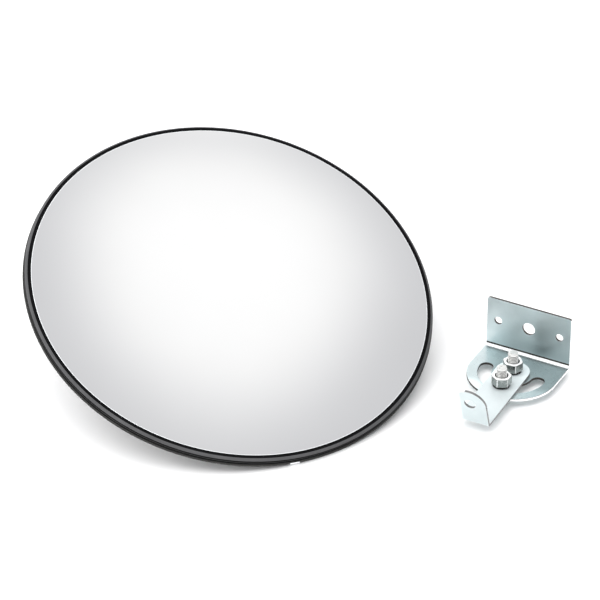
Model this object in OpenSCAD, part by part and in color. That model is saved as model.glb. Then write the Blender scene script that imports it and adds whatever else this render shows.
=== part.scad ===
// Convex security mirror with its wall bracket.
// The mirror head lies face up, leaning on its trim and on the tip of its stud.
// The wall bracket stands beside it on the heads of its two bolts.
// Millimetres, +Z up, floor at z = 0, +Y towards the wall the bracket is made for.

/* [Mirror head] */
// radius of the mirror face seen inside the trim
face_r = 144.73; // [100:0.01:200]
// rise of the mirror face from its visible edge to its crown
face_rise = 20; // [10:0.5:40]
// thickness of the mirror sheet
face_t = 2; // [1.5:0.5:4]
// how far the mirror sheet runs on under the trim
face_tuck = 2.27; // [1:0.01:3]

/* [Edge trim] */
// width of the trim seen from the front
trim_w = 5.3; // [4:0.1:10]
// depth of the trim behind the visible edge of the mirror face
trim_depth = 6.85; // [6:0.05:9]
// width of the leg behind the cover's flange
trim_leg_w = 10.5; // [8:0.5:16]
// radius of the round bead at the front of the trim
bead_r = 2.5; // [2:0.1:3]
// distance from the visible edge of the face out to the middle of the bead
bead_out = 2.1; // [1.5:0.1:3]
// distance from the visible edge of the face down to the middle of the bead
bead_down = 2.3; // [2:0.1:3]
// height of the thin lip over the edge of the face
lip_h = 0.16; // [0.1:0.01:0.3]
// distance from the visible edge of the face out to the bottom of the side groove
groove_out = 4; // [3.5:0.1:5]
// radius of the round edge at the back of the trim
heel_r = 0.95; // [0.5:0.05:1.5]

/* [Trim clip] */
// place of the clip around the trim, from the lowest point
clip_angle = -9.8; // [-60:0.2:60]
// length of the clip along the trim
clip_len = 7; // [5:0.1:12]
// thickness of the clip
clip_t = 0.4; // [0.3:0.1:0.6]
// width of the clip's leg on the back of the trim
clip_leg_w = 8.5; // [6:0.5:10]
// radius of the clip screw's head
clip_head_r = 2; // [1.5:0.1:2.5]
// height of the clip screw's head
clip_head_h = 1; // [0.8:0.1:1.2]
// radius of the clip screw's shank
clip_shank_r = 1; // [0.8:0.1:1.3]

/* [Back cover] */
// depth of the cover behind the visible edge of the face
cover_depth = 27.65; // [24:0.05:34]
// radius of the flat middle of the cover
cover_flat_r = 90; // [60:1:110]
// wall thickness of the cover
cover_t = 2; // [1.5:0.5:3]
// radius of the stiffening disc under the stud's head
plate_r = 32; // [20:1:60]
// thickness of the stiffening disc
plate_t = 2; // [1.5:0.5:4]

/* [Bolts, nuts and washers] */
// radius of the bolts
bolt_r = 4; // [3:0.5:5]
// width across the flats of heads and nuts
hex_af = 13; // [10:0.5:17]
// height of a bolt head
head_h = 5.3; // [4:0.1:6.4]
// height of a nut
nut_h = 6.5; // [5:0.1:8]
// length of the two bracket bolts under their heads
bolt_len = 20; // [18:1:30]
// length of the mounting stud under its head
stud_len = 45; // [40:1:60]
// radius over the thread at the free end of the stud
stud_end_r = 3.84; // [3.7:0.01:3.84]
// chamfer on the end of the stud
tip_chamfer = 0.8; // [0.4:0.1:1.2]
// chamfer on the ends of the two bracket bolts
bolt_tip = 1.5; // [0.8:0.1:2]
// outer radius of a split spring washer
spring_r = 6.4; // [6:0.1:8]
// height of a split spring washer
spring_h = 2; // [1.6:0.1:2.5]
// width of the split in a spring washer
spring_cut = 1.2; // [0.6:0.1:2]
// outer radius of a flat washer
washer_r = 8; // [7:0.5:12]
// thickness of a flat washer
washer_t = 1.6; // [1.2:0.1:2.5]

/* [Wall bracket] */
// width of the wall plate and of the base
bracket_w = 66.5; // [60:0.5:80]
// height of the wall plate over the underside of the base
wall_h = 43; // [35:1:60]
// thickness of the bracket's and the arm's sheet
sheet_t = 2; // [1.5:0.5:3]
// inner radius of the bend between wall plate and base
bend_r = 1.5; // [1:0.5:4]
// radius of the wall plate's top corners
corner_r = 2; // [1:0.5:5]
// distance from the wall plate's front to the pivot
pivot_reach = 25.5; // [23:0.5:40]
// radius of the middle line of the arc slot
slot_r = 20.4; // [19:0.1:24]
// width of the arc slot
slot_w = 10; // [9:0.5:12]
// half angle of the arc slot, to the middle of its round ends
slot_half = 87.5; // [30:0.5:90]
// distance of each wall screw hole from the middle
screw_hole_x = 24.3; // [18:0.1:30]
// height of the wall holes over the underside of the base
wall_hole_h = 25; // [18:0.5:45]
// radius of a wall screw hole
screw_hole_r = 3; // [2:0.25:4]
// radius of the middle wall hole
middle_hole_r = 4.9; // [3:0.1:6]

/* [Swivel arm] */
// width of the arm
arm_w = 25; // [22:1:30]
// distance from the pivot to the outer corner below the tab
arm_reach = 70; // [60:1:100]
// angle the arm is turned to at rest
arm_yaw = 1.5; // [-25:0.5:85]
// angle the tab leans out from upright
tab_lean = 18; // [0:1:30]
// length of the tab up its slope
tab_len = 34; // [28:1:50]
// height of the tab's hole up its slope
tab_hole_up = 21; // [18:0.5:40]
// radius of the tab's hole
tab_hole_r = 4.25; // [4.1:0.05:5]
// inner radius of the arm's bend
arm_bend_r = 1; // [1:0.5:4]

/* [Layout] */
// middle of the visible face's edge, along X
mirror_x = -40.4; // [-60:0.05:0]
// middle of the visible face's edge, along Y
mirror_y = -1.15; // [-20:0.05:20]
// direction the mirror faces, around +Z
mirror_turn = -31.4; // [-60:0.1:0]
// middle of the wall plate, along X
bracket_x = 150.65; // [140:0.05:180]
// front of the wall plate, along Y
bracket_y = 97.55; // [80:0.05:120]

/* [Hidden] */
$fn = 96;
over = 1;
seam = 0.01;
fit_gap = 0.05;
thread_gap = 0.05;
pin_gap = 0.08;
knee_gap = 0.3;
lip_cover = 0.5;
thread_runout = 0.5;
pivot_split = -20;
clamp_split = 35;
pivot_nut_turn = 8;
clamp_nut_turn = 27;

// the mirror face is a cap of this sphere
dome_r = (face_r * face_r + face_rise * face_rise) / (2 * face_rise);
dome_z = face_rise - dome_r;
sheet_r = face_r + face_tuck;

// edge trim, as radius and depth
groove_r = face_r + groove_out;
heel_out = face_r + trim_w - heel_r;
heel_down = trim_depth - heel_r;
leg_r = face_r + trim_w - trim_leg_w;

// cover flange, clamped between the mirror sheet and the trim's leg
flange_z = dome_height(sheet_r, dome_r - face_t) - 2 * fit_gap;
flange_r = sheet_r - 2 * fit_gap;
knee_r = leg_r - knee_gap;
slope = atan2(cover_depth + flange_z - cover_t, knee_r - cover_flat_r);
inset = cover_t * tan(slope / 2);

// stud, as depths behind the visible edge of the face
stud_seat = cover_depth - cover_t - plate_t - 2 * fit_gap;
stud_tip = stud_seat + stud_len;
jam_washer_at = cover_depth + fit_gap;
jam_nut_at = jam_washer_at + washer_t + fit_gap;
mount_washer_at = jam_nut_at + nut_h + fit_gap;
mount_spring_at = mount_washer_at + washer_t + fit_gap;
mount_nut_at = mount_spring_at + spring_h + fit_gap;
stud_end_at = mount_nut_at + nut_h + thread_runout;

// the head tilts until both the trim's heel and the stud's tip touch the floor
run = heel_out - (stud_end_r - tip_chamfer);
drop = stud_tip - heel_down;
lean = atan2(drop, run) - asin(heel_r / sqrt(run * run + drop * drop));
mirror_z = heel_out * sin(lean) + heel_down * cos(lean) + heel_r;

// trim clip
clip_in = heel_r + fit_gap;
clip_out = clip_in + clip_t;
clip_turn = 2 * asin(clip_len / (2 * heel_out));
clip_leg_z = -heel_down - clip_out;
clip_screw_at = heel_out - clip_leg_w + 1.5 * clip_head_r;

// bracket heights
hex_r = hex_af / (2 * cos(30));
base_z = head_h + fit_gap;
arm_z = base_z + sheet_t + fit_gap;
spring_z = arm_z + sheet_t + fit_gap;
nut_z = spring_z + spring_h + fit_gap;
hole_z = base_z + wall_hole_h;

// arm bend
bend_turn = 90 - tab_lean;
tab_start = (arm_bend_r + sheet_t) * tan(bend_turn / 2);
arm_flat = arm_reach - tab_start;

function dome_height(r, radius) = sqrt(radius * radius - r * r) + dome_z;

// ---- places ----

module on_head() translate([mirror_x, mirror_y, mirror_z]) rotate([0, lean, mirror_turn]) children();

module behind_face(depth) on_head() translate([0, 0, -depth]) rotate([180, 0, 0]) children();

module on_bracket() translate([bracket_x, bracket_y, 0]) children();

module on_pivot() on_bracket() translate([0, -pivot_reach, 0]) children();

module on_arm() on_pivot() rotate([0, 0, arm_yaw]) children();

// ---- shared hardware ----

module shank(r, len, tip) {
    cylinder(r = r, h = len - tip);
    translate([0, 0, len - tip]) cylinder(r1 = r, r2 = r - tip, h = tip);
}

module hex_head() cylinder(r = hex_r, h = head_h, $fn = 6);

module hex_bolt() {
    hex_head();
    shank(bolt_r, head_h + bolt_len, bolt_tip);
}

module hex_nut() difference() {
    cylinder(r = hex_r, h = nut_h, $fn = 6);
    translate([0, 0, -over]) cylinder(r = bolt_r + thread_gap, h = nut_h + 2 * over);
}

module flat_washer() difference() {
    cylinder(r = washer_r, h = washer_t);
    translate([0, 0, -over]) cylinder(r = bolt_r + pin_gap, h = washer_t + 2 * over);
}

module spring_washer() difference() {
    cylinder(r = spring_r, h = spring_h);
    translate([0, 0, -over]) cylinder(r = bolt_r + pin_gap, h = spring_h + 2 * over);
    translate([0, -spring_cut / 2, -over]) cube([spring_r + over, spring_cut, spring_h + 2 * over]);
}

// ---- mirror head ----

module mirror_face() color("#dfe3e6") on_head() rotate_extrude() intersection() {
    translate([0, dome_z]) difference() {
        circle(r = dome_r);
        circle(r = dome_r - face_t);
    }
    translate([0, -face_rise]) square([sheet_r, 2 * face_rise + over]);
}

module rim_trim() color("#191919") on_head() difference() {
    rotate_extrude() difference() {
        trim_section();
        trim_channel();
    }
    rotate([0, 0, clip_angle]) translate([clip_screw_at, 0, -trim_depth - over])
        cylinder(r = clip_shank_r + fit_gap, h = trim_depth);
}

module trim_section() {
    translate([face_r + bead_out, -bead_down]) circle(r = bead_r);
    translate([heel_out, -heel_down]) circle(r = heel_r);
    translate([leg_r, -trim_depth]) square([groove_r - leg_r, trim_depth - bead_down]);
    translate([groove_r - heel_r, -trim_depth]) square([heel_out - groove_r + heel_r, 2 * heel_r]);
    polygon([
        [face_r, -bead_down], [face_r + bead_out, -bead_down],
        [face_r + bead_out, lip_h], [face_r, lip_h]
    ]);
}

module trim_channel() polygon([
    [leg_r - over, flange_z - cover_t - fit_gap],
    [sheet_r + 2 * fit_gap, flange_z - cover_t - fit_gap],
    [sheet_r + 2 * fit_gap, dome_height(sheet_r, dome_r) + fit_gap],
    [face_r - lip_cover, dome_height(face_r - lip_cover, dome_r) + fit_gap],
    [leg_r - over, over]
]);

module rim_joint_clip() color("#c9cccf") on_head() difference() {
    rotate([0, 0, clip_angle - clip_turn / 2]) rotate_extrude(angle = clip_turn) clip_section();
    rotate([0, 0, clip_angle]) translate([clip_screw_at, 0, -trim_depth - 2 * over])
        cylinder(r = clip_shank_r + fit_gap, h = trim_depth);
}

module clip_section() {
    intersection() {
        translate([heel_out, -heel_down]) difference() {
            circle(r = clip_out);
            circle(r = clip_in);
        }
        translate([heel_out, -heel_down - clip_out]) square([clip_out, clip_out + heel_r]);
    }
    translate([heel_out - clip_leg_w, clip_leg_z]) square([clip_leg_w, clip_t]);
}

module rim_joint_screw() color("#b9bdc1") on_head() rotate([0, 0, clip_angle])
    translate([clip_screw_at, 0, clip_leg_z - fit_gap - clip_head_h]) {
        cylinder(r = clip_head_r, h = clip_head_h);
        cylinder(r = clip_shank_r, h = clip_head_h + trim_depth - heel_r - cover_t);
    }

module back_cover() color("#202122") on_head() difference() {
    rotate_extrude() polygon([
        [bolt_r + pin_gap, -cover_depth], [cover_flat_r, -cover_depth],
        [knee_r, flange_z - cover_t], [flange_r, flange_z - cover_t],
        [flange_r, flange_z], [knee_r - inset, flange_z],
        [cover_flat_r - inset, -cover_depth + cover_t], [bolt_r + pin_gap, -cover_depth + cover_t]
    ]);
    rotate([0, 0, clip_angle]) translate([clip_screw_at, 0, -trim_depth])
        cylinder(r = clip_shank_r + fit_gap, h = trim_depth);
}

module stud_plate() color("#a9adb1") behind_face(stud_seat + fit_gap) difference() {
    cylinder(r = plate_r, h = plate_t);
    translate([0, 0, -over]) cylinder(r = bolt_r + pin_gap, h = plate_t + 2 * over);
}

module stud_bolt() color("#c3c7cb") behind_face(stud_seat - head_h) {
    hex_head();
    cylinder(r = bolt_r, h = stud_end_at - stud_seat + head_h);
    shank(stud_end_r, head_h + stud_len, tip_chamfer);
}

module stud_jam_washer() color("#bfc3c7") behind_face(jam_washer_at) flat_washer();

module stud_jam_nut() color("#c3c7cb") behind_face(jam_nut_at) hex_nut();

module mount_flat_washer() color("#bfc3c7") behind_face(mount_washer_at) flat_washer();

module mount_spring_washer() color("#b3b7bb") behind_face(mount_spring_at) spring_washer();

module mount_nut() color("#c3c7cb") behind_face(mount_nut_at) hex_nut();

// ---- wall bracket ----

module wall_outline() difference() {
    translate([-bracket_w / 2, base_z + sheet_t + bend_r])
        square([bracket_w, wall_h - sheet_t - bend_r]);
    for (side = [-1, 1]) translate([side * bracket_w / 2, base_z + wall_h]) difference() {
        square(2 * corner_r, center = true);
        translate([-side * corner_r, -corner_r]) circle(r = corner_r);
    }
}

module base_outline() {
    translate([-bracket_w / 2, -pivot_reach]) square([bracket_w, pivot_reach - bend_r]);
    translate([0, -pivot_reach]) circle(r = bracket_w / 2);
}

module arc_slot() translate([0, -pivot_reach, base_z - over]) {
    rotate([0, 0, -90 - slot_half]) rotate_extrude(angle = 2 * slot_half)
        translate([slot_r - slot_w / 2, 0]) square([slot_w, sheet_t + 2 * over]);
    for (side = [-1, 1]) rotate([0, 0, -90 + side * slot_half]) translate([slot_r, 0, 0])
        cylinder(r = slot_w / 2, h = sheet_t + 2 * over);
}

module wall_hole(x, r) translate([x, -over, hole_z]) rotate([-90, 0, 0])
    cylinder(r = r, h = sheet_t + 2 * over);

module wall_bracket() color("#9aa1a8") on_bracket() difference() {
    union() {
        translate([0, sheet_t, 0]) rotate([90, 0, 0]) linear_extrude(sheet_t) wall_outline();
        translate([-bracket_w / 2, -bend_r, base_z + sheet_t + bend_r]) rotate([0, 90, 0])
            rotate_extrude(angle = 90) translate([bend_r, 0]) square([sheet_t, bracket_w]);
        translate([0, 0, base_z]) linear_extrude(sheet_t) base_outline();
    }
    arc_slot();
    translate([0, -pivot_reach, base_z - over]) cylinder(r = bolt_r + pin_gap, h = sheet_t + 2 * over);
    wall_hole(0, middle_hole_r);
    for (side = [-1, 1]) wall_hole(side * screw_hole_x, screw_hole_r);
}

module pivot_bolt() color("#c3c7cb") on_pivot() hex_bolt();

module pivot_washer() color("#b3b7bb") on_pivot() translate([0, 0, spring_z])
    rotate([0, 0, pivot_split]) spring_washer();

module pivot_nut() color("#c3c7cb") on_pivot() translate([0, 0, nut_z])
    rotate([0, 0, pivot_nut_turn]) hex_nut();

// ---- swivel arm ----

module tab_outline() difference() {
    union() {
        translate([-arm_w / 2, -seam]) square([arm_w, tab_len - tab_start - arm_w / 2 + seam]);
        translate([0, tab_len - tab_start - arm_w / 2]) circle(r = arm_w / 2);
    }
    translate([0, tab_hole_up - tab_start]) circle(r = tab_hole_r);
}

module swivel_arm() color("#d5d8da") on_arm() difference() {
    union() {
        translate([0, 0, arm_z]) cylinder(r = arm_w / 2, h = sheet_t);
        translate([-arm_w / 2, -arm_flat, arm_z]) cube([arm_w, arm_flat, sheet_t]);
        translate([0, -arm_flat, arm_z + sheet_t + arm_bend_r]) {
            translate([-arm_w / 2, 0, 0]) rotate([0, 90, 0]) rotate_extrude(angle = -bend_turn)
                translate([arm_bend_r, 0]) square([sheet_t, arm_w]);
            rotate([90 + tab_lean, 0, 0]) translate([0, 0, arm_bend_r]) linear_extrude(sheet_t)
                tab_outline();
        }
    }
    for (y = [0, -slot_r]) translate([0, y, arm_z - over])
        cylinder(r = bolt_r + pin_gap, h = sheet_t + 2 * over);
}

module clamp_bolt() color("#c3c7cb") on_arm() translate([0, -slot_r, 0]) hex_bolt();

module clamp_washer() color("#b3b7bb") on_arm() translate([0, -slot_r, spring_z])
    rotate([0, 0, clamp_split]) spring_washer();

module clamp_nut() color("#c3c7cb") on_arm() translate([0, -slot_r, nut_z])
    rotate([0, 0, clamp_nut_turn]) hex_nut();

mirror_face();
rim_trim();
rim_joint_clip();
rim_joint_screw();
back_cover();
stud_plate();
stud_bolt();
stud_jam_washer();
stud_jam_nut();
mount_flat_washer();
mount_spring_washer();
mount_nut();
wall_bracket();
pivot_bolt();
pivot_washer();
pivot_nut();
swivel_arm();
clamp_bolt();
clamp_washer();
clamp_nut();
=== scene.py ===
import bpy
from math import acos, atan2, cos, degrees, hypot, pi, radians, sin, sqrt, tan
from mathutils import Matrix, Vector
from mathutils.geometry import delaunay_2d_cdt


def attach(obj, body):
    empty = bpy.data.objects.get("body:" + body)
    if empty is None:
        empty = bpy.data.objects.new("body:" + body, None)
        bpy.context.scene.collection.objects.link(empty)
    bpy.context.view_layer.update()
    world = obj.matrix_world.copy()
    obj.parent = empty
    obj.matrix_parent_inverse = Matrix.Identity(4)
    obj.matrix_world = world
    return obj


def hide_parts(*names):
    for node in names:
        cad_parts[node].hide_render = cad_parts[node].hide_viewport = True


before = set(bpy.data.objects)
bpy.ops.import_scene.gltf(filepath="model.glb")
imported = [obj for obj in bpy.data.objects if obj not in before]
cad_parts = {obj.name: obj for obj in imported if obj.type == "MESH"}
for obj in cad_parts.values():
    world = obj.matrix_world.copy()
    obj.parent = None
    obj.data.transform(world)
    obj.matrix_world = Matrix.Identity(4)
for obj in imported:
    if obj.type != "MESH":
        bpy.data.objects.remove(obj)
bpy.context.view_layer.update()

MM = 0.001

# ---------------------------------------------------------------- sizes of the part and of its details, in mm

FACE_R, FACE_RISE, FACE_T, FACE_OUT = 144.73, 20.0, 2.0, 147.0
DOME_R = (FACE_R ** 2 + FACE_RISE ** 2) / (2 * FACE_RISE)
DOME_Z = FACE_RISE - DOME_R
BAND_W = 0.38

BEAD_X, BEAD_Z, BEAD_R = 146.83, -2.3, 2.5
HEEL_X, HEEL_Z, HEEL_R = 149.08, -5.9, 0.95
GROOVE_X, LEG_X, LIP_Z = 148.73, 139.53, 0.16
# where the rim's bands of painted highlight and painted shade meet
CROWN_IN, CROWN_OUT, CROWN_LOW = 0.45, 2.3, 0.3
CHANNEL_X, CHANNEL_Z = 147.1, -4.88
CHANNEL_CORNER, FLOOR_END, LEG_CORNER, SEAM = 0.3, 0.2, 0.4, 0.05

COVER_DEPTH, COVER_FLAT, COVER_KNEE, COVER_T = 27.65, 90.0, 139.23, 2.0
FLANGE_Z, FLANGE_X = -2.83, 146.9

BOLT_R, STUD_R, HEX_AF, HEAD_H, NUT_H = 4.0, 3.84, 13.0, 5.3, 6.5
PITCH, THREAD_DEPTH, CREST_FLAT, RUN_OUT = 1.25, 0.62, 0.06, 0.6
BOLT_LEN, BOLT_END, STUD_END = 20.0, (1.5, 1.4), (1.0, 0.92)
CREST_R, CORNER_R, CORNER_SLOPE, BORE_BEVEL = 3.85, 7.0, 0.6, 0.85
HOLE_R, NUT_BORE = BOLT_R + 0.08, 4.05
STUD_SEAT, STUD_TIP = 23.55, 68.55
JAM_WASHER_AT, JAM_NUT_AT = 27.7, 29.35
MOUNT_WASHER_AT, MOUNT_SPRING_AT, MOUNT_NUT_AT = 35.9, 37.55, 39.6

SHEET, BRACKET_W, WALL_TOP, BEND_R, PIVOT_REACH = 2.0, 66.5, 48.35, 1.5, 25.5
BASE_Z, ARM_Z, SPRING_Z, NUT_Z = 5.35, 7.4, 9.45, 11.5
SLOT_R, SLOT_W, SLOT_HALF = 20.4, 10.0, 87.5
HOLE_Z, SCREW_X, SCREW_R, MIDDLE_R = 30.35, 24.3, 3.0, 4.9
WALL_CORNER, CREASE_W, CUT_ROUND, CUT_STEPS = 2.0, 1.4, 0.28, 4
ARM_W, ARM_REACH, ARM_YAW, ARM_BEND_R = 25.0, 70.0, 1.5, 1.0
TAB_LEAN, TAB_LEN, TAB_HOLE_UP, TAB_HOLE_R, TAB_NICK = 18.0, 34.0, 21.0, 4.25, 0.6

FACE_CENTRE = (-40.4, -1.15, 64.340)
LEAN, TURN = 22.8764, -31.4
WALL_FOOT = (150.65, 97.55, 0.0)


def place(x, y, z):
    return Matrix.Translation((x, y, z))


def spin(angle, axis):
    return Matrix.Rotation(radians(angle), 4, axis)


HEAD = place(*FACE_CENTRE) @ spin(TURN, "Z") @ spin(LEAN, "Y")
BRACKET = place(*WALL_FOOT)
PIVOT = BRACKET @ place(0, -PIVOT_REACH, 0)
ARM = PIVOT @ spin(ARM_YAW, "Z")
CLAMP = ARM @ place(0, -SLOT_R, 0)


def behind_face(depth):
    """On the mirror's axis, that far behind the plane of the face's edge, with Z pointing backwards."""
    return HEAD @ place(0, 0, -depth) @ spin(180, "X")


# ---------------------------------------------------------------- mesh tools

# A face's look is its place in its piece's list of materials. After the plain one, these are the looks
# of the mirror, the rim, nuts, bolts and bent sheets. Most are painted light: a highlight along the
# mirror's edge, the rim's highlight, shade and paler side light, the nuts' highlights and shaded bores,
# shade in the thread roots, and highlights and shade on the sheets' bends and cut edges.
PLAIN = 0
FRONT, EDGE, BACK = range(3)
CROWN, SHADE, SIDE = range(3)
BODY, NUT_HIGHLIGHT, BORE = range(3)
SCREW_BODY, SCREW_ROOT = range(2)
LYING, SHEET_HIGHLIGHT, SHEET_SHADE, STANDING = range(4)

SMALL = 1e-6
STOP_NEAR, SIDE_NEAR, JOIN_NEAR = 1e-4, 1e-3, 1e-5
# four corner normals of a cut edge add up to less than this along the sheet's own normal
CUT_LIMIT = 3.0


def piece(name, faces, materials, where, body, nodes):
    """Makes an object out of faces, each of which is (corner points in mm, corner normals, look)."""
    index, verts, polys, corner_normals, looks = {}, [], [], [], []
    for points, normals, look in faces:
        ids, kept = [], []
        for point, normal in zip(points, normals):
            key = (round(point[0], 5), round(point[1], 5), round(point[2], 5))
            if key not in index:
                index[key] = len(verts)
                verts.append(point)
            if index[key] not in ids:
                ids.append(index[key])
                kept.append(normal)
        if len(ids) > 2:
            polys.append(ids)
            corner_normals += kept
            looks.append(look)
    turn = where.to_3x3()
    mesh = bpy.data.meshes.new(name)
    mesh.from_pydata([where @ Vector(vert) * MM for vert in verts], [], polys)
    for material in materials:
        mesh.materials.append(material)
    mesh.polygons.foreach_set("material_index", looks)
    mesh.polygons.foreach_set("use_smooth", [True] * len(polys))
    mesh.normals_split_custom_set([(turn @ Vector(normal)).normalized() for normal in corner_normals])
    mesh.update()
    obj = bpy.data.objects.new(name, mesh)
    bpy.context.scene.collection.objects.link(obj)
    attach(obj, body)
    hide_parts(*nodes)


def arc(cx, cz, r, start, end, steps):
    """Points with outward normals along an arc, angles in degrees. Clockwise arcs face inwards."""
    side = 1 if end > start else -1
    run = []
    for k in range(steps + 1):
        a = radians(start + (end - start) * k / steps)
        run.append((cx + r * cos(a), cz + r * sin(a), side * cos(a), side * sin(a)))
    return run


def straight(*points):
    """One run for each straight line between the points, with its normal on its right."""
    runs = []
    for (x0, z0), (x1, z1) in zip(points, points[1:]):
        length = hypot(x1 - x0, z1 - z0)
        normal = ((z1 - z0) / length, -(x1 - x0) / length)
        runs.append([(x0, z0, *normal), (x1, z1, *normal)])
    return runs


def rounded(points, radii, steps):
    """One smooth closed run around a counter-clockwise polygon with rounded corners."""
    run = []
    count = len(points)
    for i in range(count):
        before, corner, after = Vector(points[i - 1]), Vector(points[i]), Vector(points[(i + 1) % count])
        arriving, leaving = (corner - before).normalized(), (after - corner).normalized()
        turn = atan2(arriving.x * leaving.y - arriving.y * leaving.x, arriving.dot(leaving))
        side = 1 if turn > 0 else -1
        r = radii[i]
        start = corner - arriving * r * tan(abs(turn) / 2)
        centre = start + Vector((-arriving.y, arriving.x)) * r * side
        first = atan2(start.y - centre.y, start.x - centre.x)
        for k in range(steps + 1):
            a = first + turn * k / steps
            run.append((centre.x + r * cos(a), centre.y + r * sin(a), side * cos(a), side * sin(a)))
    return run + run[:1]


def lathe(runs, segments, sweep=360.0, rise=0.0, mark=None):
    """Turns runs of (x, z, nx, nz) about Z. mark(x, z) gives a look. Less than a full turn gets a flat
    cap at each end, and climbs by rise."""
    full = sweep == 360.0
    angles = [radians(sweep * k / segments) for k in range(segments + 1)]
    if full:
        angles[-1] = 0.0
    faces = []
    for run in runs:
        for (x0, z0, u0, w0), (x1, z1, u1, w1) in zip(run, run[1:]):
            if hypot(x1 - x0, z1 - z0) < SMALL:
                continue
            look = mark((x0 + x1) / 2, (z0 + z1) / 2) if mark else PLAIN
            for k in range(segments):
                a, b = angles[k], angles[k + 1]
                ra, rb = rise * k / segments, rise * (k + 1) / segments
                ca, sa, cb, sb = cos(a), sin(a), cos(b), sin(b)
                faces.append((
                    [(x0 * ca, x0 * sa, z0 + ra), (x0 * cb, x0 * sb, z0 + rb),
                     (x1 * cb, x1 * sb, z1 + rb), (x1 * ca, x1 * sa, z1 + ra)],
                    [(u0 * ca, u0 * sa, w0), (u0 * cb, u0 * sb, w0),
                     (u1 * cb, u1 * sb, w1), (u1 * ca, u1 * sa, w1)], look))
    if not full:
        outline = [point[:2] for run in runs for point in run[:-1]]
        for a, lift, side in ((angles[0], 0.0, -1), (angles[-1], rise, 1)):
            ring = [(x * cos(a), x * sin(a), z + lift) for x, z in outline]
            normal = (-sin(a) * side, cos(a) * side, 0)
            faces.append((ring if side < 0 else ring[::-1], [normal] * len(ring), PLAIN))
    return faces


def moved(faces, matrix):
    turn = matrix.to_3x3()
    return [([tuple(matrix @ Vector(point)) for point in points],
             [tuple(turn @ Vector(normal)) for normal in normals], look)
            for points, normals, look in faces]


# ---------------------------------------------------------------- sheet metal

def circle_loop(cx, cs, r, steps=48):
    """A hole: clockwise, so that the material is on its left."""
    loop = []
    for k in range(steps):
        a = -2 * pi * k / steps
        loop.append((cx + r * cos(a), cs + r * sin(a), -cos(a), -sin(a)))
    return loop


def line_points(x, s0, s1, stops, nx):
    """Points along one straight side, with a stop at each crease of the bend."""
    inside = sorted((s for s in stops if min(s0, s1) + SMALL < s < max(s0, s1) - SMALL), reverse=s1 < s0)
    return [(x, s, nx, 0.0) for s in [s0] + inside + [s1]]


def bent_sheet(loops, bend, stops, half, look, cut_look):
    """Cuts a flat pattern out of loops, rounds its edges, and bends it. The first loop is the outline,
    and reaches half its width to each side of the middle where the stops, the bend's creases, cross it.
    look(s, side) gives the look of a face, and cut_look(normal, hole) that of a cut edge."""
    rings, flat, links, start = [], [], [], 0
    for loop in loops:
        ring = []
        for k in range(2 * CUT_STEPS + 2):
            upper_half = k <= CUT_STEPS
            t = pi / 2 * (k / CUT_STEPS if upper_half else (2 * CUT_STEPS + 1 - k) / CUT_STEPS)
            inset, h = CUT_ROUND * (1 - sin(t)), SHEET / 2 - CUT_ROUND * (1 - cos(t))
            h = h if upper_half else -h
            lift = cos(t) if upper_half else -cos(t)
            ring.append([((x - u * inset, s - w * inset, h), (u * sin(t), w * sin(t), lift))
                         for x, s, u, w in loop])
        rings.append(ring)
        flat += [Vector(position[:2]) for position, _ in ring[0]]
        links += [(start + i, start + (i + 1) % len(loop)) for i in range(len(loop))]
        start += len(loop)
    for s in stops:
        ends = [i for i, point in enumerate(flat[:len(loops[0])])
                if abs(point.y - s) < STOP_NEAR and abs(abs(point.x) - half + CUT_ROUND) < SIDE_NEAR]
        if len(ends) == 2:
            links.append(tuple(ends))
    verts, _, triangles, _, _, _ = delaunay_2d_cdt(flat, links, [], 0, JOIN_NEAR)
    outline = [[position[:2] for position, _ in ring[0]] for ring in rings]
    faces = []
    for triangle in triangles:
        centre = sum((verts[i] for i in triangle), Vector((0, 0))) / 3
        if sum(contains(loop, centre) for loop in outline) != 1:
            continue
        for side in (1, -1):
            corners = triangle if side > 0 else triangle[::-1]
            faces.append(([bend(verts[i].x, verts[i].y, side * SHEET / 2)[0] for i in corners],
                          [turned(bend, verts[i].x, verts[i].y, (0, 0, side)) for i in corners],
                          look(centre.y, side)))
    for ring in rings:
        count = len(ring[0])
        for upper, lower in zip(ring, ring[1:]):
            for i in range(count):
                j = (i + 1) % count
                quad = [upper[i], lower[i], lower[j], upper[j]]
                normals = [turned(bend, point[0], point[1], normal) for point, normal in quad]
                upright = abs(sum(normal[2] for point, normal in quad)) < CUT_LIMIT
                edge_look = cut_look(normals[0], ring is not rings[0]) if upright else LYING
                faces.append(([bend(*point)[0] for point, normal in quad], normals, edge_look))
    return faces


def contains(loop, point):
    inside = False
    for (x0, y0), (x1, y1) in zip(loop, loop[1:] + loop[:1]):
        if (y0 > point.y) != (y1 > point.y) and point.x < x0 + (point.y - y0) * (x1 - x0) / (y1 - y0):
            inside = not inside
    return inside


def turned(bend, x, s, normal):
    """A normal of the flat pattern at (x, s), as it is after the bend."""
    _, across, along, upward = bend(x, s, 0)
    return tuple(across * normal[0] + along * normal[1] + upward * normal[2])


def bend_path(flat_end, angle, radius, lay, foot):
    """Maps a flat pattern (x, s, height) round one bend. lay and foot are the flat part's axes and origin."""
    across, along, upward = lay
    mid = radius + SHEET / 2
    length = mid * radians(angle)
    centre = foot + along * flat_end + upward * mid

    def bend(x, s, h):
        if s <= flat_end:
            return foot + across * x + along * s + upward * h, across, along, upward
        a = min((s - flat_end) / length, 1.0) * radians(angle)
        tangent = along * cos(a) + upward * sin(a)
        inward = upward * cos(a) - along * sin(a)
        beyond = max(s - flat_end - length, 0.0)
        return centre - inward * (mid - h) + tangent * beyond + across * x, across, tangent, inward

    return bend, length


# ---------------------------------------------------------------- bolts, nuts and washers

CORNER_NORMAL_OUT, CORNER_NORMAL_UP = 0.5, 0.866
SHANK_SEGMENTS, SHANK_OVERLAP, LEAST_RISE = 40, 0.1, 0.02


def hex_radius(a):
    """Distance from the middle of a hexagon to its side, in direction a. There is a corner at 0."""
    a = (a % (pi / 3)) - pi / 6
    return HEX_AF / 2 / cos(a)


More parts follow.
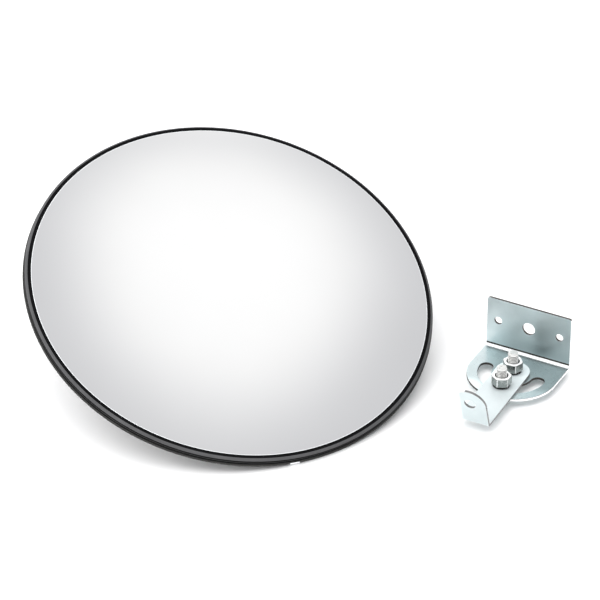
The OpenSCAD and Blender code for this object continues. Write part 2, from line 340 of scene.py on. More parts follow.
def hex_prism(height, bore, per_side=16):
    """Hexagonal body with its corners turned down at both ends, corners on +X. The top and one strip at each
    upright corner take a painted highlight, the bore the look of painted shade. ra and rb are full radii, ca
    and cb those of the flat ends."""
    count = 6 * per_side
    inner = (bore + BORE_BEVEL) if bore else 0.0
    faces = []
    for k in range(count):
        a, b = 2 * pi * k / count, 2 * pi * (k + 1) / count
        ra, rb = hex_radius(a), hex_radius(b)
        ca, cb = min(ra, CORNER_R), min(rb, CORNER_R)
        mid = (int(k / per_side) + 0.5) * pi / 3
        z = {}
        for up in (1, -1):
            level = height if up > 0 else 0.0
            z[up] = (level - up * (ra - ca) * CORNER_SLOPE, level - up * (rb - cb) * CORNER_SLOPE)
            cone = [(cos(t) * CORNER_NORMAL_OUT, sin(t) * CORNER_NORMAL_OUT, up * CORNER_NORMAL_UP)
                    for t in (a, b)]
            if ra > CORNER_R or rb > CORNER_R:
                quad = [(ca * cos(a), ca * sin(a), level), (ra * cos(a), ra * sin(a), z[up][0]),
                        (rb * cos(b), rb * sin(b), z[up][1]), (cb * cos(b), cb * sin(b), level)]
                faces.append((quad[::up], [cone[0], cone[0], cone[1], cone[1]][::up], BODY))
            quad = [(inner * cos(a), inner * sin(a), level), (ca * cos(a), ca * sin(a), level),
                    (cb * cos(b), cb * sin(b), level), (inner * cos(b), inner * sin(b), level)]
            faces.append((quad[::up], [(0, 0, up)] * 4, NUT_HIGHLIGHT if up > 0 else BODY))
        # a painted highlight on one strip at each upright corner
        side_look = NUT_HIGHLIGHT if k % per_side == 0 else BODY
        faces.append(([(ra * cos(a), ra * sin(a), z[-1][0]), (rb * cos(b), rb * sin(b), z[-1][1]),
                       (rb * cos(b), rb * sin(b), z[1][1]), (ra * cos(a), ra * sin(a), z[1][0])],
                      [(cos(mid), sin(mid), 0)] * 4, side_look))
    if bore:
        bore_line = straight((inner, height), (bore, height - BORE_BEVEL), (bore, BORE_BEVEL), (inner, 0.0))
        faces += [(points, normals, BORE) for points, normals, _ in lathe(bore_line, count)]
    return faces


def thread(radius, z0, z1, per_turn=6):
    """A helical thread from z0 to z1, running out at z1."""
    depth = [max(0.0, THREAD_DEPTH * abs(2 * k / per_turn - 1) - CREST_FLAT) for k in range(per_turn)]
    rows = int((z1 - z0) / PITCH * per_turn) + 2 * per_turn + 1

    def corner(row, k):
        z = max(z0, min(z0 + PITCH * (row / per_turn + k / SHANK_SEGMENTS - 1), z1))
        shrink = depth[row % per_turn] * min(1.0, (z1 - z) / RUN_OUT)
        return radius - shrink, z, 2 * pi * k / SHANK_SEGMENTS

    faces = []
    for row in range(rows):
        # the thread's roots take the look of painted shade in the grooves
        deep = depth[row % per_turn] + depth[(row + 1) % per_turn] > THREAD_DEPTH
        for k in range(SHANK_SEGMENTS):
            quad = [corner(row, k), corner(row, k + 1), corner(row + 1, k + 1), corner(row + 1, k)]
            if quad[2][1] - quad[0][1] < SMALL or quad[0][1] >= z1:
                continue
            rise = max(quad[3][1] - quad[0][1], LEAST_RISE)
            narrowing = quad[0][0] - quad[3][0]
            faces.append(([(r * cos(a), r * sin(a), z) for r, z, a in quad],
                          [(rise * cos(a), rise * sin(a), narrowing) for r, z, a in quad],
                          SCREW_ROOT if deep else SCREW_BODY))
    return faces


def rounded_end(radius, z1, length, drop, steps=8):
    """The smooth end of a bolt, up to z1: an elliptical shoulder and a flat."""
    run = []
    for k in range(steps + 1):
        t = pi / 2 * k / steps
        normal = Vector((length * cos(t), drop * sin(t))).normalized()
        run.append((radius - drop * (1 - cos(t)), z1 - length * (1 - sin(t)), normal.x, normal.y))
    return lathe([run, [(radius - drop, z1, 0.0, 1.0), (0.0, z1, 0.0, 1.0)]], SHANK_SEGMENTS)


def bolt(length, radius, tip, plain=3.0):
    """Hex head from z = 0, then the shank: plain under the head, threaded as far as its rounded tip."""
    end = HEAD_H + length
    head = [(points, normals, SCREW_BODY) for points, normals, _ in hex_prism(HEAD_H, 0)]
    shank = lathe(straight((radius, HEAD_H - SHANK_OVERLAP), (radius, HEAD_H + plain)), SHANK_SEGMENTS)
    return head + shank + thread(radius, HEAD_H + plain, end - tip[0]) + rounded_end(radius, end, *tip)


def split_washer(inner=4.08, outer=6.4, height=2.0, rise=0.35, gap=12.0, edge=0.2):
    section = [(inner, 0), (outer, 0), (outer, height - rise), (inner, height - rise)]
    return moved(lathe([rounded(section, [edge] * 4, 3)], 72, 360.0 - gap, rise), spin(gap / 2, "Z"))


def plain_washer(inner=4.08, outer=8.0, height=1.6, edge=0.25):
    section = [(inner, 0), (outer, 0), (outer, height), (inner, height)]
    return lathe([rounded(section, [edge] * 4, 3)], 96)


# ---------------------------------------------------------------- materials

def shader(name):
    material = bpy.data.materials.new(name)
    material.use_nodes = True
    tree = material.node_tree
    return material, tree, tree.nodes["Principled BSDF"]


def add(tree, kind, inputs=None, **settings):
    """Adds a node, with values for its inputs and for its own settings."""
    node = tree.nodes.new(kind)
    for key, value in settings.items():
        setattr(node, key, value)
    for key, value in (inputs or {}).items():
        node.inputs[key].default_value = value
    return node


def noise(tree, scale, detail, stretch=None, rough=0.5):
    """The factor of a noise texture in the piece's own coordinates."""
    coords = add(tree, "ShaderNodeTexCoord")
    texture = add(tree, "ShaderNodeTexNoise", {"Scale": scale, "Detail": detail, "Roughness": rough})
    if stretch:
        mapping = add(tree, "ShaderNodeMapping", {"Scale": stretch})
        tree.links.new(coords.outputs["Object"], mapping.inputs["Vector"])
        tree.links.new(mapping.outputs["Vector"], texture.inputs["Vector"])
    else:
        tree.links.new(coords.outputs["Object"], texture.inputs["Vector"])
    return texture.outputs["Fac"]


def ranged(tree, source, start, end, low, high, blend="LINEAR"):
    """Maps start..end of a value onto low..high."""
    limits = {"From Min": start, "From Max": end, "To Min": low, "To Max": high}
    node = add(tree, "ShaderNodeMapRange", limits, interpolation_type=blend)
    tree.links.new(source, node.inputs["Value"])
    return node.outputs["Result"]


def spread(tree, source, low, high, target):
    """Drives a number on the shader from a texture, whose values lie mostly between 0.3 and 0.7."""
    tree.links.new(ranged(tree, source, 0.3, 0.7, low, high), target)


def tones(tree, source, low, high, target, start=0.3, end=0.7):
    """Drives a colour on the shader from a value: low up to start, high from end."""
    node = add(tree, "ShaderNodeValToRGB")
    for stop, at, colour in zip(node.color_ramp.elements, (start, end), (low, high)):
        stop.position = at
        stop.color = (*colour, 1)
    tree.links.new(source, node.inputs["Fac"])
    tree.links.new(node.outputs["Color"], target)


def bump(tree, source, strength, distance, surface):
    node = add(tree, "ShaderNodeBump", {"Strength": strength, "Distance": distance})
    tree.links.new(source, node.inputs["Height"])
    tree.links.new(node.outputs["Normal"], surface.inputs["Normal"])


def mirror_material():
    material, tree, surface = shader("silvered_acrylic")
    surface.inputs["Metallic"].default_value = 1.0
    haze = noise(tree, 9.0, 3.0)
    tones(tree, haze, (0.960, 0.960, 0.961), (0.981, 0.981, 0.982), surface.inputs["Base Color"], 0.35, 0.65)
    spread(tree, haze, 0.012, 0.024, surface.inputs["Roughness"])
    return material


# a pale strip that paints the bright highlight along the mirror's edge
def edge_highlight_material():
    material, tree, surface = shader("mirror_edge_painted_highlight")
    grain = noise(tree, 60.0, 2.0)
    tones(tree, grain, (0.78, 0.80, 0.81), (0.84, 0.86, 0.87), surface.inputs["Base Color"])
    spread(tree, grain, 0.12, 0.2, surface.inputs["Roughness"])
    return material


def backing_material():
    material, tree, surface = shader("mirror_back_paint")
    grain = noise(tree, 40.0, 3.0)
    tones(tree, grain, (0.10, 0.105, 0.11), (0.14, 0.145, 0.15), surface.inputs["Base Color"])
    spread(tree, grain, 0.5, 0.62, surface.inputs["Roughness"])
    return material


def rubber_material(name, low, high, gloss, rough):
    material, tree, surface = shader(name)
    cloud = noise(tree, 45.0, 5.0)
    tones(tree, cloud, low, high, surface.inputs["Base Color"])
    spread(tree, cloud, *rough, surface.inputs["Roughness"])
    surface.inputs["Specular IOR Level"].default_value = gloss
    bump(tree, noise(tree, 900.0, 2.0), 0.12, 0.0002, surface)
    return material


def cover_material():
    material, tree, surface = shader("black_moulded_plastic")
    cloud = noise(tree, 30.0, 4.0)
    tones(tree, cloud, (0.018, 0.018, 0.019), (0.026, 0.026, 0.028), surface.inputs["Base Color"])
    spread(tree, cloud, 0.46, 0.58, surface.inputs["Roughness"])
    coords = add(tree, "ShaderNodeTexCoord")
    cells = add(tree, "ShaderNodeTexVoronoi", {"Scale": 900.0})
    tree.links.new(coords.outputs["Object"], cells.inputs["Vector"])
    bump(tree, cells.outputs["Distance"], 0.25, 0.0002, surface)
    return material


def fade(tree, colour, direction, start, end, first, last):
    """Paints light and shade onto a colour: multiplies it by a gain that goes smoothly from first to last
    between two distances, in mm from the pivot along a direction."""
    along = Vector(direction).normalized()
    zero = along.x * WALL_FOOT[0] + along.y * (WALL_FOOT[1] - PIVOT_REACH)
    coords = add(tree, "ShaderNodeTexCoord")
    distance = direction_dot(tree, coords.outputs["Object"], along)
    gain = ranged(tree, distance, (zero + start) * MM, (zero + end) * MM, first, last, "SMOOTHSTEP")
    scale = add(tree, "ShaderNodeVectorMath", operation="SCALE")
    tree.links.new(colour.links[0].from_socket, scale.inputs[0])
    tree.links.new(gain, scale.inputs["Scale"])
    tree.links.new(scale.outputs[0], colour)


def sheet_material(name, low, high, rough, metallic=1.0, fades=()):
    """Steel sheet, or its cut edges. Each of the fades, a gradient of painted light and shade, is what fade()
    takes after the colour.
    """
    material, tree, surface = shader(name)
    surface.inputs["Metallic"].default_value = metallic
    tones(tree, noise(tree, 55.0, 6.0, rough=0.6), low, high, surface.inputs["Base Color"])
    for settings in fades:
        fade(tree, surface.inputs["Base Color"], *settings)
    streaks = noise(tree, 260.0, 4.0, stretch=(1.0, 5.0, 5.0))
    spread(tree, streaks, *rough, surface.inputs["Roughness"])
    bump(tree, streaks, 0.02, 0.0001, surface)
    return material


def fastener_material(name, low, high, rough, grain, metallic=1.0):
    material, tree, surface = shader(name)
    surface.inputs["Metallic"].default_value = metallic
    spots = noise(tree, 420.0, 5.0, rough=0.65)
    tones(tree, spots, low, high, surface.inputs["Base Color"], 0.32, 0.68)
    spread(tree, spots, *rough, surface.inputs["Roughness"])
    bump(tree, noise(tree, 1500.0, 3.0), grain, 0.0002, surface)
    return material


def floor_material():
    material, tree, surface = shader("studio_floor")
    tones(tree, noise(tree, 2.0, 3.0), (0.89, 0.89, 0.89), (0.91, 0.91, 0.91), surface.inputs["Base Color"])
    surface.inputs["Roughness"].default_value = 0.9
    surface.inputs["Specular IOR Level"].default_value = 0.1
    return material


def direction_dot(tree, vector, axis):
    node = add(tree, "ShaderNodeVectorMath", operation="DOT_PRODUCT")
    tree.links.new(vector, node.inputs[0])
    node.inputs[1].default_value = axis
    return node.outputs["Value"]


# painted light and shade on the zinc: the base lighter towards the left and the front, the wall lighter
# towards its left edge, the arm lighter near the pivot and darker towards the tab, a painted highlight
# on the tab's left end. Each: direction, start and end in mm, first and last gain
BASE_FADES = (((-1.0, -0.2, 0.0), 12.0, 28.0, 1.0, 1.30), ((0.2, -1.0, 0.0), 11.0, 22.0, 1.0, 1.62))
WALL_FADES = (((1.0, 0.0, 0.0), -BRACKET_W / 2, -8.0, 1.44, 1.0),)
ARM_FADES = (((0.0, -1.0, 0.0), -8.0, 34.0, 1.25, 0.90),)
TAB_FADES = (((1.0, 0.0, 0.0), -7.65, -4.15, 1.6, 1.0),)

MIRROR = mirror_material()
EDGE_HIGHLIGHT = edge_highlight_material()
BACKING = backing_material()
# one black rubber in three tones of painted light: a highlight for the crown, shade, and paler light for the
# side
LIT_RUBBER = rubber_material(
    "trim_rubber_painted_highlight", (0.066, 0.066, 0.068), (0.086, 0.086, 0.088), 0.04, (0.42, 0.52))
SHADED_RUBBER = rubber_material(
    "trim_rubber_shade", (0.0030, 0.0030, 0.0033), (0.0050, 0.0050, 0.0055), 0.03, (0.36, 0.46))
SIDE_LIT_RUBBER = rubber_material(
    "trim_rubber_painted_side_light", (0.034, 0.034, 0.033), (0.050, 0.050, 0.049), 0.03, (0.50, 0.60))
COVER = cover_material()
# one zinc plating in copies toned for how light falls: the base, the upright wall, the arm painted lighter
# and the tab, each with its painted gradients
ZINC = sheet_material(
    "zinc_plated_sheet", (0.44, 0.505, 0.515), (0.51, 0.575, 0.585), (0.26, 0.34), fades=BASE_FADES)
WALL_ZINC = sheet_material(
    "zinc_plated_wall", (0.43, 0.505, 0.515), (0.50, 0.575, 0.585), (0.30, 0.38), fades=WALL_FADES)
LIT_ZINC = sheet_material(
    "zinc_sheet_painted_light", (0.615, 0.675, 0.685), (0.675, 0.735, 0.745), (0.40, 0.48), 0.3, ARM_FADES)
TAB_ZINC = sheet_material(
    "zinc_plated_tab", (0.47, 0.53, 0.54), (0.53, 0.59, 0.60), (0.32, 0.40), 0.5, TAB_FADES)
# cut edges in painted shade: dark on the bracket, half dark on the arm
SHADED_CUT_EDGE = sheet_material(
    "cut_edge_painted_shade", (0.026, 0.022, 0.020), (0.048, 0.042, 0.038), (0.46, 0.56), 0.5)
HALF_SHADED_EDGE = sheet_material(
    "cut_edge_painted_half_shade", (0.15, 0.15, 0.15), (0.21, 0.21, 0.21), (0.42, 0.52), 0.5)
NUT = fastener_material(
    "zinc_plated_nut", (0.24, 0.258, 0.25), (0.42, 0.438, 0.425), (0.20, 0.30), 0.06)
SCREW = fastener_material(
    "zinc_plated_screw", (0.58, 0.58, 0.565), (0.72, 0.72, 0.705), (0.26, 0.36), 0.04, 0.55)
# pale zinc that paints highlights: on nut tops and corners, on the bracket's bend and on lit cut edges
HIGHLIGHT_ZINC = fastener_material(
    "zinc_painted_highlight", (0.88, 0.89, 0.89), (0.95, 0.96, 0.96), (0.24, 0.34), 0.05, 0.15)
# painted shade in the thread roots and in the nuts' bores
ROOT_SHADE = fastener_material(
    "thread_root_painted_shade", (0.030, 0.028, 0.026), (0.060, 0.056, 0.050), (0.38, 0.48), 0.06, 0.5)
# near black, painted as the shade in the gap under each nut
SHADED_WASHER = fastener_material(
    "spring_washer_painted_shade", (0.020, 0.020, 0.020), (0.045, 0.045, 0.044), (0.34, 0.46), 0.08)
PLATE = fastener_material(
    "plain_steel_disc", (0.36, 0.37, 0.37), (0.52, 0.53, 0.53), (0.25, 0.4), 0.08)
CLIP = fastener_material(
    "bright_clip", (0.86, 0.87, 0.88), (0.94, 0.95, 0.96), (0.06, 0.14), 0.05)


# ---------------------------------------------------------------- mirror head

def dome(x, radius=DOME_R):
    """Height of a sphere about the mirror's centre of curvature, at a distance x from the axis."""
    return sqrt(radius ** 2 - x ** 2) + DOME_Z


def dome_run(x0, x1, radius, facing, steps):
    """A run along such a sphere, whose normals point outwards when facing is 1, inwards when it is -1."""
    run = []
    for k in range(steps + 1):
        x = x0 + (x1 - x0) * k / steps
        run.append((x, dome(x, radius), facing * x / radius, facing * sqrt(1 - (x / radius) ** 2)))
    return run


def mirror_face():
    inner = DOME_R - FACE_T
    runs = [dome_run(0.0, FACE_OUT, inner, -1, 30)]
    runs += straight((FACE_OUT, dome(FACE_OUT, inner)), (FACE_OUT, dome(FACE_OUT)))
    runs += [dome_run(FACE_OUT, FACE_R - BAND_W, DOME_R, 1, 4), dome_run(FACE_R - BAND_W, 0.0, DOME_R, 1, 60)]

    # the last BAND_W mm of the front is a pale strip that paints the highlight along the mirror's edge
    def mark(x, z):
        if z < dome(x, DOME_R - FACE_T / 2):
            return BACK
        return EDGE if x > FACE_R - BAND_W else FRONT

    piece("mirror_sheet", lathe(runs, 256, mark=mark), [MIRROR, EDGE_HIGHLIGHT, BACKING], HEAD,
          "mirror_head", ["mirror_face"])


def rim_trim():
    """The bead, the groove and the heel on the outside, and the channel that holds the mirror's edge."""
    groove_top = degrees(acos((GROOVE_X - BEAD_X) / BEAD_R))
    groove_low = degrees(acos((GROOVE_X - HEEL_X) / HEEL_R))
    bead_end = (GROOVE_X, BEAD_Z - sqrt(BEAD_R ** 2 - (GROOVE_X - BEAD_X) ** 2))
    heel_start = (GROOVE_X, HEEL_Z + sqrt(HEEL_R ** 2 - (GROOVE_X - HEEL_X) ** 2))
    crest = 90 + degrees(acos((LIP_Z - BEAD_Z) / BEAD_R))
    crest_x = BEAD_X - sqrt(BEAD_R ** 2 - (LIP_Z - BEAD_Z) ** 2)
    heel_bottom = HEEL_Z - HEEL_R
    channel_top = (CHANNEL_X, dome(CHANNEL_X) + SEAM)
    runs = straight(channel_top, (CHANNEL_X, CHANNEL_Z), (LEG_X + FLOOR_END, CHANNEL_Z))
    runs += [arc(LEG_X + CHANNEL_CORNER, CHANNEL_Z - CHANNEL_CORNER, CHANNEL_CORNER, 90, 180, 4)]
    runs += straight((LEG_X, CHANNEL_Z - CHANNEL_CORNER), (LEG_X, heel_bottom + LEG_CORNER))
    runs += [arc(LEG_X + LEG_CORNER, heel_bottom + LEG_CORNER, LEG_CORNER, 180, 270, 4)]
    runs += straight((LEG_X + LEG_CORNER, heel_bottom), (HEEL_X, heel_bottom))
    runs += [arc(HEEL_X, HEEL_Z, HEEL_R, -90, groove_low, 18)]
    runs += straight(heel_start, bead_end)
    runs += [arc(BEAD_X, BEAD_Z, BEAD_R, -groove_top, crest, 28)]
    runs += straight((crest_x, LIP_Z), (FACE_R + SEAM, LIP_Z), (FACE_R, dome(FACE_R) + SEAM), channel_top)

    # Painted light on one black rubber: shade next to the mirror, on the lip and beyond the crown, a
    # highlight on the bead's crown, and paler side light on the heel below the groove.
    def mark(x, z):
        if x < BEAD_X + CROWN_IN or z > LIP_Z - SEAM and x < BEAD_X:
            return SHADE
        if z > BEAD_Z - CROWN_LOW:
            return CROWN if x < BEAD_X + CROWN_OUT else SHADE
        return SHADE if x < GROOVE_X + SEAM else SIDE

    piece("edge_trim", lathe(runs, 256, mark=mark), [LIT_RUBBER, SHADED_RUBBER, SIDE_LIT_RUBBER], HEAD,
          "mirror_head", ["rim_trim"])


def back_cover():
    slope = atan2(COVER_DEPTH + FLANGE_Z - COVER_T, COVER_KNEE - COVER_FLAT)
    inset = COVER_T * tan(slope / 2)
    outline = [(HOLE_R, -COVER_DEPTH), (COVER_FLAT, -COVER_DEPTH), (COVER_KNEE, FLANGE_Z - COVER_T),
               (FLANGE_X, FLANGE_Z - COVER_T), (FLANGE_X, FLANGE_Z), (COVER_KNEE - inset, FLANGE_Z),
               (COVER_FLAT - inset, -COVER_DEPTH + COVER_T), (HOLE_R, -COVER_DEPTH + COVER_T)]
    corner_radii = [0.3, 9.0, 1.5, 0.3, 0.3, 3.5, 7.0, 0.3]
    piece("rear_cover", lathe([rounded(outline, corner_radii, 6)], 192), [COVER], HEAD, "mirror_head",
          ["back_cover"])


def stud():
    """The stud, with its head inside the cover, and the nuts and washers on it."""
    faces = bolt(STUD_TIP - STUD_SEAT, STUD_R, STUD_END, 2.0)
    piece("stud", faces, [SCREW, ROOT_SHADE], behind_face(STUD_SEAT - HEAD_H), "mirror_head", ["stud_bolt"])
    for name, node, depth, faces, look in (
            ("jam_washer", "stud_jam_washer", JAM_WASHER_AT, plain_washer(), PLATE),
            ("jam_nut", "stud_jam_nut", JAM_NUT_AT, hex_prism(NUT_H, NUT_BORE), NUT),
            ("flat_washer", "mount_flat_washer", MOUNT_WASHER_AT, plain_washer(), PLATE),
            ("spring_washer", "mount_spring_washer", MOUNT_SPRING_AT, split_washer(), SHADED_WASHER),
            ("stud_nut", "mount_nut", MOUNT_NUT_AT, hex_prism(NUT_H, NUT_BORE), NUT)):
        piece(name, faces, [look, HIGHLIGHT_ZINC, ROOT_SHADE], behind_face(depth), "mirror_head", [node])


# ---------------------------------------------------------------- wall bracket

# how far a cut edge's normal leans up, left or to either side before the edge changes its look, between
# painted highlight and painted shade
EDGE_UP, WALL_EDGE_LEFT, ARM_EDGE_SIDE = 0.35, 0.25, 0.3


def slot_arc(r, start, end, facing, steps=40):
    """One long side of the slot: points and normals around the pivot, from one angle to another."""
    angles = [start + (end - start) * k / steps for k in range(steps + 1)]
    return [(r * cos(a), r * sin(a), facing * cos(a), facing * sin(a)) for a in angles]


def slot_end(a, first, steps=12):
    """The round end of the slot at angle a, clockwise from the direction first."""
    turns = [first - pi * k / steps for k in range(1, steps)]
    return [(SLOT_R * cos(a) + SLOT_W / 2 * cos(t), SLOT_R * sin(a) + SLOT_W / 2 * sin(t), cos(t), sin(t))
            for t in turns]


def slot_loop():
    """The arc slot as a hole in the flat pattern, around the pivot at (0, 0)."""
    left, right = -pi / 2 - radians(SLOT_HALF), -pi / 2 + radians(SLOT_HALF)
    loop = slot_arc(SLOT_R + SLOT_W / 2, right, left, 1)
    loop += slot_end(left, left)
    loop += slot_arc(SLOT_R - SLOT_W / 2, left, right, -1)
    loop += slot_end(right, right + pi)
    return [(x, s, -u, -w) for x, s, u, w in loop]


def wall_bracket():
    lay = (Vector((1, 0, 0)), Vector((0, 1, 0)), Vector((0, 0, 1)))
    foot = Vector((0, 0, BASE_Z + SHEET / 2))
    flat_end = PIVOT_REACH - BEND_R
    bend, length = bend_path(flat_end, 90, BEND_R, lay, foot)
    bend_end = flat_end + length
    wall_zero = bend_end - BASE_Z - SHEET - BEND_R  # where height 0 would be in the pattern
    stops = [flat_end + length * k / 10 for k in range(11)] + [bend_end + CREASE_W]
    half, top, corner = BRACKET_W / 2, wall_zero + WALL_TOP, WALL_CORNER
    outline = line_points(half, 0.0, top - corner, stops, 1.0)[:-1]
    outline += arc(half - corner, top - corner, corner, 0, 90, 6)
    outline += arc(corner - half, top - corner, corner, 90, 180, 6)
    outline += line_points(-half, top - corner, 0.0, stops, -1.0)[1:]
    outline += arc(0, 0, half, 180, 360, 72)[1:-1]
    hole_s = wall_zero + HOLE_Z
    loops = [outline, circle_loop(0, 0, HOLE_R), slot_loop(), circle_loop(0, hole_s, MIDDLE_R)]
    loops += [circle_loop(side * SCREW_X, hole_s, SCREW_R, 36) for side in (-1, 1)]

    # Painted light on the bracket: a highlight along the top of the bend and a strip of shade in the crease
    # above it, CREASE_W wide. The cut edges of the holes and the slot, and those facing up or left, are
    # painted shade, the rest painted highlights.
    def look(s, side):
        if s > bend_end + CREASE_W:
            return STANDING
        if side < 0 or s < flat_end:
            return LYING
        return SHEET_HIGHLIGHT if s < bend_end else SHEET_SHADE

    def cut_look(normal, hole):
        return SHEET_SHADE if hole or normal[2] > EDGE_UP or normal[0] < -WALL_EDGE_LEFT else SHEET_HIGHLIGHT

    piece("bracket_sheet", bent_sheet(loops, bend, stops, half, look, cut_look),
          [ZINC, HIGHLIGHT_ZINC, SHADED_CUT_EDGE, WALL_ZINC], PIVOT, "bracket_base", ["wall_bracket"])


def bracket_hardware():
    for name, nodes, body, where, washer_turn, nut_turn in (
            ("pivot", ("pivot_bolt", "pivot_washer", "pivot_nut"), "bracket_base", PIVOT, -20, 8),
            ("clamp", ("clamp_bolt", "clamp_washer", "clamp_nut"), "bracket_arm", CLAMP, 35, 27)):
        washer_at = where @ place(0, 0, SPRING_Z) @ spin(washer_turn, "Z")
        nut_at = where @ place(0, 0, NUT_Z) @ spin(nut_turn, "Z")
        piece(name + "_screw", bolt(BOLT_LEN, CREST_R, BOLT_END), [SCREW, ROOT_SHADE], where,
              body, [nodes[0]])
        piece(name + "_split_washer", split_washer(), [SHADED_WASHER], washer_at,
              body, [nodes[1]])
        piece(name + "_hex_nut", hex_prism(NUT_H, NUT_BORE), [NUT, HIGHLIGHT_ZINC, ROOT_SHADE], nut_at,
              body, [nodes[2]])


# ---------------------------------------------------------------- swivel arm

def swivel_arm():
    lay = (Vector((-1, 0, 0)), Vector((0, -1, 0)), Vector((0, 0, 1)))
    foot = Vector((0, 0, ARM_Z + SHEET / 2))
    turn = 90 - TAB_LEAN
    tangent = (ARM_BEND_R + SHEET) * tan(radians(turn / 2))
    flat_end = ARM_REACH - tangent
    bend, length = bend_path(flat_end, turn, ARM_BEND_R, lay, foot)
    bend_end = flat_end + length
    stops = [flat_end + length * k / 8 for k in range(9)]
    r = ARM_W / 2
    top = bend_end + TAB_LEN - tangent - r
    outline = arc(0, 0, r, 180, 360, 36)[:-1]
    outline += line_points(r, 0.0, top, stops, 1.0)[:-1]
    outline += arc(0, top, r, 0, 180, 40)
    outline += [(-r, top - TAB_NICK, -1.0, 0.0)]
    nick = arc(-r, top - 2 * TAB_NICK, TAB_NICK, 90, -90, 8)[1:-1]
    outline += [(x, s, -u, -w) for x, s, u, w in nick]
    outline += line_points(-r, top - 3 * TAB_NICK, 0.0, stops, -1.0)[:-1]
    loops = [outline, circle_loop(0, 0, HOLE_R), circle_loop(0, SLOT_R, HOLE_R),
             circle_loop(0, bend_end + TAB_HOLE_UP - tangent, TAB_HOLE_R)]

    # Painted light on the arm: the cut edges of the holes, of the right side and the raised ones are painted
    # half shade, the rest painted highlights.
    def look(s, side):
        return STANDING if s > bend_end and side < 0 else LYING

    def cut_look(normal, hole):
        raised = normal[2] > EDGE_UP and normal[0] > -ARM_EDGE_SIDE
        return SHEET_SHADE if hole or normal[0] > ARM_EDGE_SIDE or raised else SHEET_HIGHLIGHT

    piece("arm_sheet", bent_sheet(loops, bend, stops, r, look, cut_look),
          [LIT_ZINC, HIGHLIGHT_ZINC, HALF_SHADED_EDGE, TAB_ZINC], ARM, "bracket_arm", ["swivel_arm"])


mirror_face()
rim_trim()
back_cover()
stud()
wall_bracket()
bracket_hardware()
swivel_arm()

for node, look in (("stud_plate", PLATE), ("rim_joint_clip", CLIP), ("rim_joint_screw", NUT)):
    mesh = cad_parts[node].data
    mesh.materials.clear()
    mesh.materials.append(look)


# ---------------------------------------------------------------- studio, in metres

# strength, middle, long axis, half widths and power of the falloff of each panel of light
PANELS = (
    (0.392, (0.0635, 0.4300, 0.9006), (-0.4953, 0.7970, -0.3457), (0.508, 0.359), 4.4),
    (1.35, (-0.50, 0.75, 0.40), (1.0, 0.5, 0.0), (0.30, 0.20), 3.0),
    (1.40, (-0.39, -0.54, 0.74), (1.0, -0.7, 0.0), (0.40, 0.32), 3.0),
)
SKY, HORIZON, BAND_GLOW = 0.645, 1.02, 2.0
# heights, as sines, between which the horizon turns to sky and the band of light along it fades
SKY_RISE, BAND_RISE = (0.05, 0.5), (0.12, 0.34)
# strengths between which the light goes from cool to white
COOL_RANGE, COOL, WHITE = (0.66, 0.95), (0.973, 0.978, 1.0), (1.0, 1.0, 1.0)

# the camera stands at this distance from its target, in this direction
CAMERA_TARGET, CAMERA_FROM, CAMERA_DISTANCE = (-0.03552, 0.09502, 0.0), (0.3948, -0.7394, 0.5454), 2.6
CAMERA_SENSOR, CAMERA_LENS, CAMERA_CLIP = 36.0, 208.32, (0.05, 200.0)


def studio_floor():
    """A wide disc under the part, in rings so that its texture stays even."""
    rings = [0.0, 0.3, 1.0, 4.0, 14.0, 40.0]
    verts, polys, count = [(0.0, 0.0, 0.0)], [], 48
    for r in rings[1:]:
        verts += [(r * cos(2 * pi * k / count), r * sin(2 * pi * k / count), 0.0) for k in range(count)]
    for k in range(count):
        j = (k + 1) % count
        polys.append((0, 1 + k, 1 + j))
        for level in range(len(rings) - 2):
            a, b = 1 + level * count, 1 + (level + 1) * count
            polys.append((a + k, b + k, b + j, a + j))
    mesh = bpy.data.meshes.new("studio_floor")
    mesh.from_pydata(verts, [], polys)
    mesh.materials.append(floor_material())
    obj = bpy.data.objects.new("studio_floor", mesh)
    bpy.context.scene.collection.objects.link(obj)


def maths(tree, operation, *values):
    """A maths node on numbers and on other nodes' outputs."""
    node = add(tree, "ShaderNodeMath", operation=operation)
    for i, value in enumerate(values):
        if isinstance(value, float):
            node.inputs[i].default_value = value
        else:
            tree.links.new(value, node.inputs[i])
    return node.outputs["Value"]


def soft_panel(tree, direction, strength, middle, long_axis, widths, power):
    """An oval panel of light in the sky, of full strength in its middle, falling softly to 0 round it."""
    facing = Vector(middle).normalized()
    along = Vector(long_axis)
    along = (along - facing * along.dot(facing)).normalized()
    x = maths(tree, "DIVIDE", direction_dot(tree, direction, along), widths[0])
    y = maths(tree, "DIVIDE", direction_dot(tree, direction, facing.cross(along)), widths[1])
    square = maths(tree, "ADD", maths(tree, "MULTIPLY", x, x), maths(tree, "MULTIPLY", y, y))
    steep = maths(tree, "POWER", maths(tree, "SQRT", square), power)
    fall = maths(tree, "EXPONENT", maths(tree, "MULTIPLY", steep, -1.0))
    in_front = maths(tree, "GREATER_THAN", direction_dot(tree, direction, facing), 0.0)
    return maths(tree, "MULTIPLY", maths(tree, "MULTIPLY", fall, in_front), strength)


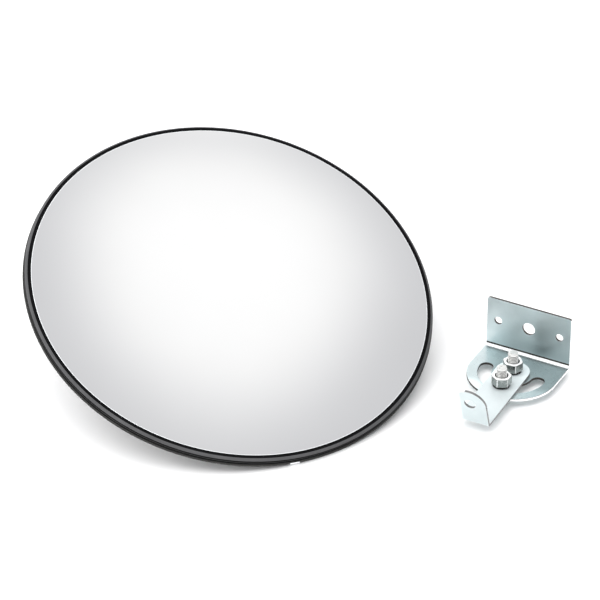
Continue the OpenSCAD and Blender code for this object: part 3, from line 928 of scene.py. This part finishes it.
def studio_light():
    """A pale sky with a bright band along the horizon and soft panels, slightly cool where it is dim."""
    world = bpy.data.worlds.new("studio")
    bpy.context.scene.world = world
    world.use_nodes = True
    tree = world.node_tree
    direction = add(tree, "ShaderNodeTexCoord").outputs["Generated"]
    height = direction_dot(tree, direction, (0, 0, 1))
    total = ranged(tree, height, *SKY_RISE, HORIZON, SKY, "SMOOTHSTEP")
    total = maths(tree, "ADD", total, ranged(tree, height, *BAND_RISE, BAND_GLOW, 0.0, "SMOOTHSTEP"))
    for panel in PANELS:
        total = maths(tree, "ADD", total, soft_panel(tree, direction, *panel))
    background = tree.nodes["Background"]
    tint = ranged(tree, total, *COOL_RANGE, 0.0, 1.0)
    tones(tree, tint, COOL, WHITE, background.inputs["Color"], 0.0, 1.0)
    tree.links.new(total, background.inputs["Strength"])


def lamp(name, position, size, watts):
    """A round lamp, aimed at the origin, that lights the part but isn't seen in the mirror."""
    data = bpy.data.lights.new(name, "AREA")
    data.shape, data.size, data.energy = "DISK", size, watts
    obj = bpy.data.objects.new(name, data)
    obj.location = position
    obj.rotation_mode = "QUATERNION"
    obj.rotation_quaternion = (-Vector(position)).to_track_quat("-Z", "Y")
    obj.visible_glossy = False
    bpy.context.scene.collection.objects.link(obj)


def camera():
    back = Vector(CAMERA_FROM).normalized()
    data = bpy.data.cameras.new("camera")
    data.sensor_width, data.lens = CAMERA_SENSOR, CAMERA_LENS
    data.clip_start, data.clip_end = CAMERA_CLIP
    obj = bpy.data.objects.new("camera", data)
    obj.location = Vector(CAMERA_TARGET) + back * CAMERA_DISTANCE
    obj.rotation_mode = "QUATERNION"
    obj.rotation_quaternion = (-back).to_track_quat("-Z", "Y")
    bpy.context.scene.collection.objects.link(obj)
    bpy.context.scene.camera = obj


studio_floor()
studio_light()
lamp("overhead", (-0.3, -0.5, 3.0), 4.0, 95.0)
lamp("left_fill", (-2.4, -1.4, 1.2), 1.8, 41.0)
camera()
bpy.context.scene.view_settings.view_transform = "Standard"
